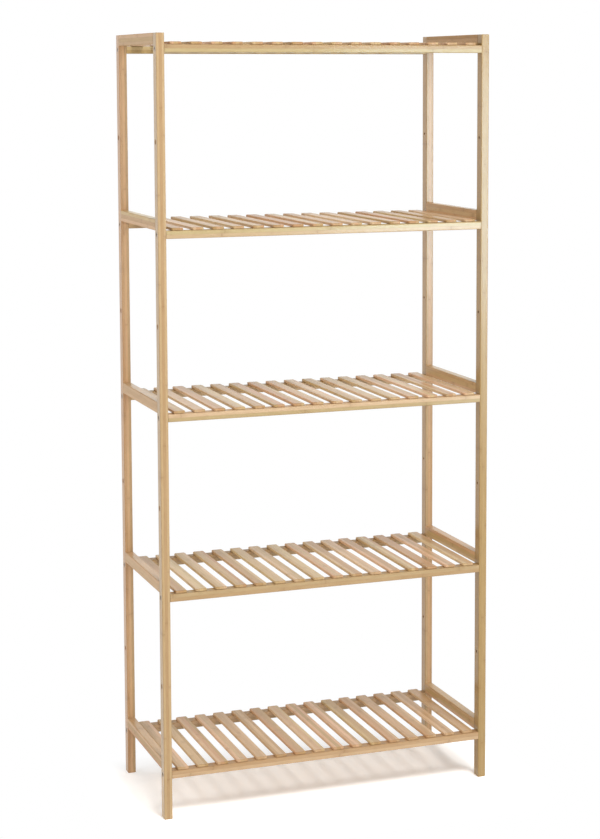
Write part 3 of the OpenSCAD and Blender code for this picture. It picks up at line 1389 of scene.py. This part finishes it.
class SlatRowTree(GeometryTree):
    """Lays a row of alike slats across two rails.

    Each slat is a cube whose points are drawn out to a block with rounded corners and rounded edges.
    """

    CORNER_STEPS = 3
    EDGE_STEPS = 2
    TINY = 1e-6
    ON_EDGE = 0.99
    END_POWER = 4.0
    SEED_STEP = 10.0

    def __init__(self) -> None:
        """Builds the tree."""
        super().__init__("Slat Row", {
            "Count": INT, "Pitch": FLOAT, "Size": VECTOR, "Corner Radius": FLOAT, "Edge Radius": FLOAT,
            "Underside": FLOAT,
        })
        w, given = self.wiring, self.given
        slat = self._slat()
        start = self.row_start(given["Count"], given["Pitch"])
        height = w.plus(given["Underside"], w.times(w.split(given["Size"])[2], 0.5))
        row = self.line(given["Count"], w.combine(start, 0.0, height), w.combine(given["Pitch"], 0.0, 0.0))
        row = self._store(row, TONE_AND_SHADE, self._chance(1, 2, 0.0, 1.0))
        shift = self._chance(2, 0, (0.0, 0.0, 0.0), (GRAIN_RUN, 0.0, 0.0), "FLOAT_VECTOR")
        laid = self.real(self.copies(self._store(row, GRAIN_SHIFT, shift, "FLOAT_VECTOR"), slat))
        grain = w.vector("ADD", self._stored(GRAIN), self._stored(GRAIN_SHIFT))
        self.close(self._store(laid, GRAIN, grain, "FLOAT_VECTOR"))

    def _slat(self) -> Socket:
        """One slat about the origin, with its grain, its edges and its ends marked.

        Returns:
            Its mesh.
        """
        w, around = self.wiring, 2 * self.CORNER_STEPS + 2
        cube = w.node("GeometryNodeMeshCube", {
            "Size": (1.0, 1.0, 1.0), "Vertices X": around, "Vertices Y": around,
            "Vertices Z": 2 * self.EDGE_STEPS + 2,
        }).outputs["Mesh"]
        shaped, arris, ends = self._shape(self.position())
        marked = self._store(self._store(cube, ARRIS, arris), CUT_END, ends)
        formed = w.node("GeometryNodeSetPosition", {"Geometry": marked, "Position": shaped}).outputs["Geometry"]
        x, y, z = w.split(self.position())
        grained = self._store(formed, GRAIN, w.combine(y, x, z), "FLOAT_VECTOR")
        smooth = w.node("GeometryNodeSetShadeSmooth", {"Geometry": grained, "Shade Smooth": True})
        return smooth.outputs["Geometry"]

    def _store(self, geometry: Socket, name: str, value: Socket, kind: str = "FLOAT") -> Socket:
        """Stores a named value on the points of a geometry."""
        inputs = {"Geometry": geometry, "Name": name, "Value": value}
        return self.wiring.node("GeometryNodeStoreNamedAttribute", inputs, data_type=kind).outputs["Geometry"]

    def _stored(self, name: str) -> Socket:
        """Reads a stored vector."""
        made = self.wiring.node("GeometryNodeInputNamedAttribute", {"Name": name}, data_type="FLOAT_VECTOR")
        return made.outputs[0]

    def _chance(self, offset: float, first: int, low: Feed, high: Feed, kind: str = "FLOAT") -> Socket:
        """A random value for each slat, fixed by the tree's seed.

        Args:
            offset: What keeps this value apart from the other random ones.
            first: The number of the node's input for the lowest value.
            low: The lowest value.
            high: The highest value.
            kind: FLOAT or FLOAT_VECTOR.

        Returns:
            The random value.
        """
        seed = self.wiring.total(offset, (self.given["Seed"], self.SEED_STEP))
        inputs = {first: low, first + 1: high, "Seed": seed}
        return self.wiring.node("FunctionNodeRandomValue", inputs, data_type=kind).outputs[first // 2]

    def _shape(self, place: Socket) -> tuple[Socket, Socket, Socket]:
        """Where each point of the unit cube goes on the slat, and what part of the slat it is.

        Args:
            place: A point of the unit cube.

        Returns:
            The point's new place, how far round an edge it lies and how much of an end it is, both from 0 to 1.
        """
        w, given = self.wiring, self.given
        half = w.split(w.vector("SCALE", given["Size"], scale=0.5))
        own = w.split(place)
        corner, edge = given["Corner Radius"], given["Edge Radius"]

        def outwards(value: Socket, steps: int) -> Socket:
            """How far out towards the end a point lies, from 0 where the flat starts to 1 at the end."""
            left = w.times(w.minus(0.5, w.maths("ABSOLUTE", value)), (2 * steps + 1) / steps)
            return w.minus(1.0, w.maths("MINIMUM", left, 1.0))

        angle = w.times(outwards(own[2], self.EDGE_STEPS), math.pi / 2)
        inset = w.times(edge, w.minus(1.0, w.maths("COSINE", angle)))
        level = w.plus(w.minus(half[2], edge), w.times(edge, w.maths("SINE", angle)))
        out = [outwards(value, self.CORNER_STEPS) for value in own[:2]]
        reach = w.most(*out)
        size = w.most(w.maths("SQRT", w.plus(*(w.maths("POWER", value, 2.0) for value in out))), self.TINY)
        radius = w.times(reach, w.minus(corner, inset))
        sides = []
        for i in (0, 1):
            side = w.plus(w.minus(half[i], corner), w.times(radius, w.maths("DIVIDE", out[i], size)))
            sides.append(w.times(w.maths("SIGN", own[i]), side))
        shaped = w.combine(*sides, w.times(w.maths("SIGN", own[2]), level))
        on_edge = w.maths("GREATER_THAN", reach, self.ON_EDGE)
        brink = w.times(w.maths("SINE", w.times(angle, 2.0)), on_edge)
        return shaped, brink, w.maths("POWER", out[1], self.END_POWER)


class ScrewFieldTree(GeometryTree):
    """Puts copies of one screw on a grid of places, each turned at random about its own axis."""

    def __init__(self) -> None:
        """Builds the tree."""
        super().__init__("Screw Field", {
            "Screw": "NodeSocketObject", "Across Count": INT, "Across Pitch": FLOAT, "Row Gap": FLOAT,
            "Up Count": INT, "Up Pitch": FLOAT, "First Height": FLOAT, "Sideways": FLOAT,
        })
        w, given = self.wiring, self.given
        start = self.row_start(given["Across Count"], given["Across Pitch"])
        corner = w.combine(start, w.times(given["Row Gap"], -0.5), given["First Height"])
        across = self.line(given["Across Count"], corner, w.combine(given["Across Pitch"], 0.0, 0.0))
        rows = self._repeat(across, 2, w.combine(0.0, given["Row Gap"], 0.0))
        places = self._repeat(rows, given["Up Count"], w.combine(0.0, 0.0, given["Up Pitch"]))
        x, _, _ = w.split(self.position())
        tilt = w.times(w.times(w.maths("SIGN", x), given["Sideways"]), math.pi / 2)
        flip = w.times(w.minus(1.0, given["Sideways"]), math.pi)
        turn = w.node("FunctionNodeRandomValue", {2: 0.0, 3: 2 * math.pi, "Seed": given["Seed"]}, data_type="FLOAT")
        info = w.node("GeometryNodeObjectInfo", {"Object": given["Screw"]}, transform_space="ORIGINAL")
        placed = self.copies(places, info.outputs["Geometry"], w.combine(flip, tilt, 0.0))
        self.close(w.node("GeometryNodeRotateInstances", {
            "Instances": placed, "Rotation": w.combine(0.0, 0.0, turn.outputs[1]), "Local Space": True,
        }).outputs["Instances"])

    def _repeat(self, points: Socket, count: Feed, offset: Socket) -> Socket:
        """Copies points along a line."""
        return self.real(self.copies(self.line(count, None, offset), points))


@dataclass
class SlattedShelves:
    """The five shelves: a front and a back rail each, with slats laid across and screwed on from below."""

    sizes: UnitSizes
    bench: Workbench
    pin: ScrewForm
    slat_tree: SlatRowTree
    screw_tree: ScrewFieldTree
    slat_seed: int = 40
    screw_seed: int = 60

    def build(self) -> None:
        """Builds every rail, slat and slat screw."""
        screw = self.pin.pattern(self._cross())
        for level in self.sizes.levels:
            for row in Row:
                self.rail(row, level)
            self.slats(level)
            self.slat_screws(level, screw)
        discard([screw])

    def rail(self, row: Row, level: int) -> None:
        """One rail, bored from below for the slat screws.

        Args:
            row: Its row.
            level: Its shelf.
        """
        s = self.sizes
        block = RoundedBlock(s.rail_depth, s.rail_height, 2 * s.inner_x, s.bar_radius, run=Run.ALONG_X)
        centre = (0.0, row.value * s.rail_y, s.rail_z(level) + s.rail_height / 2)
        upwards = Matrix.Rotation(math.pi, 4, "X")
        height = s.rail_z(level) + s.pin_recess
        seats = [Matrix.Translation((x, row.value * s.pin_y, height)) @ upwards for x in s.slat_places]
        node = f"rail_{row.name.lower()}_{level}"
        hole = self.pin.hole(s.rail_height)
        self.bench.bar(node, block, centre, FinishSet.RAIL, "bamboo_rail", hole, seats)

    def slats(self, level: int) -> None:
        """The slats of one shelf.

        Args:
            level: The shelf.
        """
        s, node = self.sizes, f"slats_{level}"
        self.slat_tree.piece(self.bench, node + "_bamboo", FinishSet.SLAT, "bamboo_slat", node, {
            "Count": s.slat_count, "Pitch": s.slat_pitch,
            "Size": (s.slat_width, s.depth - 2 * s.slat_setback, s.slat_thickness),
            "Corner Radius": s.slat_corner_radius, "Edge Radius": s.slat_radius,
            "Underside": s.slat_z(level), "Seed": self.slat_seed + level,
        })

    def slat_screws(self, level: int, screw: Thing) -> None:
        """The screws that hold one shelf's slats.

        Args:
            level: The shelf.
            screw: The screw that is repeated.
        """
        s, node = self.sizes, f"slat_screws_{level}"
        self.screw_tree.piece(self.bench, node + "_zinc", FinishSet.SLAT_SCREW, "zinc_screw", node, {
            "Screw": screw, "Across Count": s.slat_count, "Across Pitch": s.slat_pitch, "Row Gap": 2 * s.pin_y,
            "Up Count": 1, "Up Pitch": s.shelf_pitch, "First Height": s.rail_z(level) + s.pin_recess,
            "Sideways": 0.0, "Seed": self.screw_seed + level,
        })

    def _cross(self) -> list[Mesh]:
        """The two wings of the cross recess in a slat screw's head.

        Returns:
            Their meshes.
        """
        s = self.sizes
        wings = []
        for turn in (0.0, math.pi / 2):
            wing = RoundedBlock(s.cross_width, s.cross_span, s.cross_depth, s.cross_corner, steps=1).mesh("wing")
            wing.transform(Matrix.Rotation(turn, 4, "Z"))
            wings.append(wing)
        return wings


@dataclass
class FrameScrews:
    """The twenty socket screws that clamp the rails between the posts."""

    sizes: UnitSizes
    bench: Workbench
    screw: ScrewForm
    screw_tree: ScrewFieldTree
    seed: int = 90
    socket_sides: int = 6

    def build(self) -> None:
        """Builds the screws."""
        s = self.sizes
        radius, reach = s.socket_flats / math.sqrt(3), self.screw.reach
        socket = Lathe((
            (0.0, -s.socket_depth - s.socket_point), (radius, -s.socket_depth), (radius, reach), (0.0, reach),
        ), self.socket_sides)
        pattern = self.screw.pattern([socket.mesh("socket")])
        values = {
            "Screw": pattern, "Across Count": 2, "Across Pitch": s.width, "Row Gap": 2 * s.rail_y,
            "Up Count": s.shelf_count, "Up Pitch": s.shelf_pitch, "First Height": s.screw_z(1),
            "Sideways": 1.0, "Seed": self.seed,
        }
        self.screw_tree.piece(
            self.bench, "frame_screws_black", FinishSet.FRAME_SCREW, "dark_screw", "frame_screws", values, [pattern],
        )


@dataclass
class Dowels:
    """The dowels in the joints, which keep their CAD shape and get a wood finish."""

    finishes: FinishSet
    node: Thing

    def dress(self) -> None:
        """Gives the CAD node its material."""
        material = self.finishes.of(FinishSet.DOWEL)
        if not self.node.material_slots:
            self.node.data.materials.append(material)
        for slot in self.node.material_slots:
            slot.material = material
        log.info("%s: dressed as %s", self.node.name, material.name)


@dataclass
class PhotoCamera:
    """The camera, fitted to the photograph's post and rail edges with the unit at its real size."""

    place: Point = (-1.2339, -3.4949, 1.3289)
    yaw: float = 20.665
    pitch: float = 5.889
    roll: float = -0.104
    focal_pixels: float = 2000.8
    centre_pixels: Span = (345.0, 280.0)
    frame_pixels: tuple[int, int] = (600, 839)
    sensor: float = 36.0
    clip_end: float = 60.0

    def build(self) -> None:
        """Makes the camera and gives it to the scene."""
        yaw, pitch, roll = (math.radians(angle) for angle in (self.yaw, self.pitch, self.roll))
        ahead = Vector((math.sin(yaw) * math.cos(pitch), math.cos(yaw) * math.cos(pitch), -math.sin(pitch)))
        level = Vector((math.cos(yaw), -math.sin(yaw), 0.0))
        above = level.cross(ahead)
        right = level * math.cos(roll) + above * math.sin(roll)
        up = above * math.cos(roll) - level * math.sin(roll)
        data = bpy.data.cameras.new("camera")
        long_side = max(self.frame_pixels)
        data.sensor_width = self.sensor
        data.lens = self.focal_pixels / long_side * self.sensor
        data.shift_x = (self.frame_pixels[0] / 2 - self.centre_pixels[0]) / long_side
        data.shift_y = (self.centre_pixels[1] - self.frame_pixels[1] / 2) / long_side
        data.dof.use_dof = False
        data.clip_end = self.clip_end
        camera = add_object("camera", data)
        turned = Matrix((right, up, -ahead)).transposed().to_4x4()
        camera.matrix_world = Matrix.Translation(self.place) @ turned
        bpy.context.scene.camera = camera


@dataclass(frozen=True)
class SoftLamp:
    """One large soft lamp of the studio."""

    name: str
    place: Point
    aim: Point
    size: Span
    power: float
    colour: Colour = WHITE

    def build(self) -> None:
        """Hangs the lamp."""
        data = bpy.data.lights.new(self.name, "AREA")
        data.shape = "RECTANGLE"
        data.size, data.size_y = self.size
        data.energy = self.power
        data.color = self.colour
        lamp = add_object(self.name, data)
        lamp.location = self.place
        lamp.rotation_euler = (Vector(self.aim) - Vector(self.place)).to_track_quat("-Z", "Y").to_euler()


@dataclass
class Studio:
    """A plain pale floor, a white surround and soft lamps."""

    sizes: UnitSizes
    ambient: float = 0.42
    floor_size: float = 30.0
    floor_tint: Colour = (0.93, 0.925, 0.915)
    floor_roughness: float = 0.9
    floor_shine: float = 0.1
    cloud_tint: Colour = (0.85, 0.84, 0.83)
    cloud_scale: Point = (3.0, 3.0, 3.0)
    cloud_share: float = 0.02
    floor_lift: float = 0.6
    # Painted shadow under the unit: how much of the lift it takes away, and where it fades in beside and ahead.
    painted_shadow_strength: float = 0.52
    painted_shadow_beside: Span = (-0.04, 0.03)
    painted_shadow_ahead: Span = (-0.12, -0.055)
    far_behind: float = 0.02
    far_beside: float = 2.0
    floor_fade: Span = (0.02, 0.2)
    lamps: tuple[SoftLamp, ...] = (
        SoftLamp("key", (0.6, -3.6, 5.4), (0.0, 0.0, 0.7), (2.0, 1.9), 210.0),
        SoftLamp("front", (-0.8, -4.6, 1.3), (0.0, 0.0, 0.7), (3.0, 2.0), 45.0),
        SoftLamp("left", (-3.5, -0.8, 1.5), (0.0, 0.0, 0.7), (1.8, 2.2), 17.0),
        SoftLamp("window", (1.75, -3.4, 0.97), (0.3, 0.0, 1.0), (0.9, 0.95), 31.0, (0.70, 0.91, 1.0)),
        SoftLamp("low_window", (2.1, -3.35, 0.15), (0.3, 0.0, 0.6), (0.8, 0.9), 9.0, (0.70, 0.91, 1.0)),
        SoftLamp("behind", (1.3, 3.6, 1.5), (0.1, 0.0, 0.95), (2.4, 1.2), 8.0, (0.60, 0.88, 1.0)),
        SoftLamp("fill", (-2.6, 2.6, 1.4), (0.0, 0.0, 0.7), (2.0, 1.6), 24.0),
    )

    def build(self) -> None:
        """Builds the floor, the surround and the lamps, and sets the view."""
        scene = bpy.context.scene
        scene.view_settings.view_transform = "Standard"
        scene.world = self._surround()
        self._floor()
        for lamp in self.lamps:
            lamp.build()

    def _surround(self) -> bpy.types.World:
        """The surround: white to the eye and in reflections, and an even light on everything.

        Returns:
            The world.
        """
        world = bpy.data.worlds.new("surround")
        w = Wiring.afresh(world)
        strength = w.total(self.ambient, (w.seen(), 1.0 - self.ambient))
        light = w.node("ShaderNodeBackground", {"Color": WHITE, "Strength": strength})
        w.surface(light.outputs["Background"], "World")
        return world

    def _floor(self) -> None:
        """The floor, which keeps the unit's shadow."""
        half = self.floor_size / 2
        mesh = bpy.data.meshes.new("floor")
        mesh.from_pydata([(-half, -half, 0), (half, -half, 0), (half, half, 0), (-half, half, 0)], [], [(0, 1, 2, 3)])
        mesh.materials.append(self._floor_material())
        floor = add_object("floor", mesh)

    def _floor_material(self) -> bpy.types.Material:
        """The floor's material: pale and matt near the unit, with a painted shadow under it, and white to the eye
        further off.

        Returns:
            The material.
        """
        material = bpy.data.materials.new("floor")
        w = Wiring.afresh(material)
        place, seen = w.object_place(), w.seen()
        cloud = w.noise(place, self.cloud_scale)
        tint = w.blend(w.times(cloud, self.cloud_share), self.floor_tint, self.cloud_tint)
        matt = w.principled({
            "Base Color": tint, "Roughness": self.floor_roughness, "Specular IOR Level": self.floor_shine,
        })
        half_width, half_depth = self.sizes.width / 2, self.sizes.depth / 2
        x, y, _ = w.split(place)
        aside = w.maths("ABSOLUTE", x)
        # Painted shadow: the camera's lift of the floor is lowered under the unit, between the side frames and back
        # from the front edge.
        between = w.fade_out(aside, *(half_width + edge for edge in self.painted_shadow_beside))
        painted_shadow = w.times(between, w.fade(y, *self.painted_shadow_ahead))
        share = w.times(seen, w.total(1.0, (painted_shadow, -self.painted_shadow_strength)))
        lift = w.node("ShaderNodeBsdfDiffuse", {"Color": w.blend(share, BLACK, (self.floor_lift,) * 3)})
        near = w.node("ShaderNodeAddShader", {0: matt, 1: lift.outputs["BSDF"]})
        beside = w.times(w.most(w.minus(aside, half_width), 0.0), self.far_beside)
        beyond = w.most(w.most(w.minus(-half_depth, y), w.minus(y, self.far_behind)), 0.0)
        away = w.node("ShaderNodeVectorMath", {0: w.combine(beside, beyond, 0.0)}, operation="LENGTH")
        far = w.times(w.fade(away.outputs["Value"], *self.floor_fade), seen)
        white = w.node("ShaderNodeEmission", {"Color": WHITE, "Strength": 1.0})
        both = w.node("ShaderNodeMixShader", {0: far, 1: near.outputs["Shader"], 2: white.outputs["Emission"]})
        w.surface(both.outputs["Shader"])
        return material


def main() -> None:
    """Loads the frame, builds and dresses the unit, and lights it."""
    logging.basicConfig(level=logging.INFO, format="%(message)s")
    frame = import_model()
    sizes = UnitSizes()
    PhotoCamera().build()
    Studio(sizes).build()
    finishes = FinishSet()
    bench = Workbench(finishes)
    screw = ScrewForm(
        shank=sizes.screw_diameter, head=sizes.head_diameter, length=sizes.screw_length, tip=sizes.screw_tip,
        rim=sizes.head_rim, gap=sizes.screw_gap,
    )
    pin = ScrewForm(
        shank=sizes.pin_diameter, head=sizes.pin_head_diameter, length=sizes.pin_length, tip=sizes.pin_tip,
        rim=sizes.head_rim, gap=sizes.pin_gap, bevel=sizes.pin_head_bevel, segments=12,
    )
    screw_tree = ScrewFieldTree()
    SideFrames(sizes, bench, screw).build()
    SlattedShelves(sizes, bench, pin, SlatRowTree(), screw_tree).build()
    FrameScrews(sizes, bench, screw, screw_tree).build()
    Dowels(finishes, frame["nodes"]["dowels"]).dress()


if __name__ == "__main__":
    main()
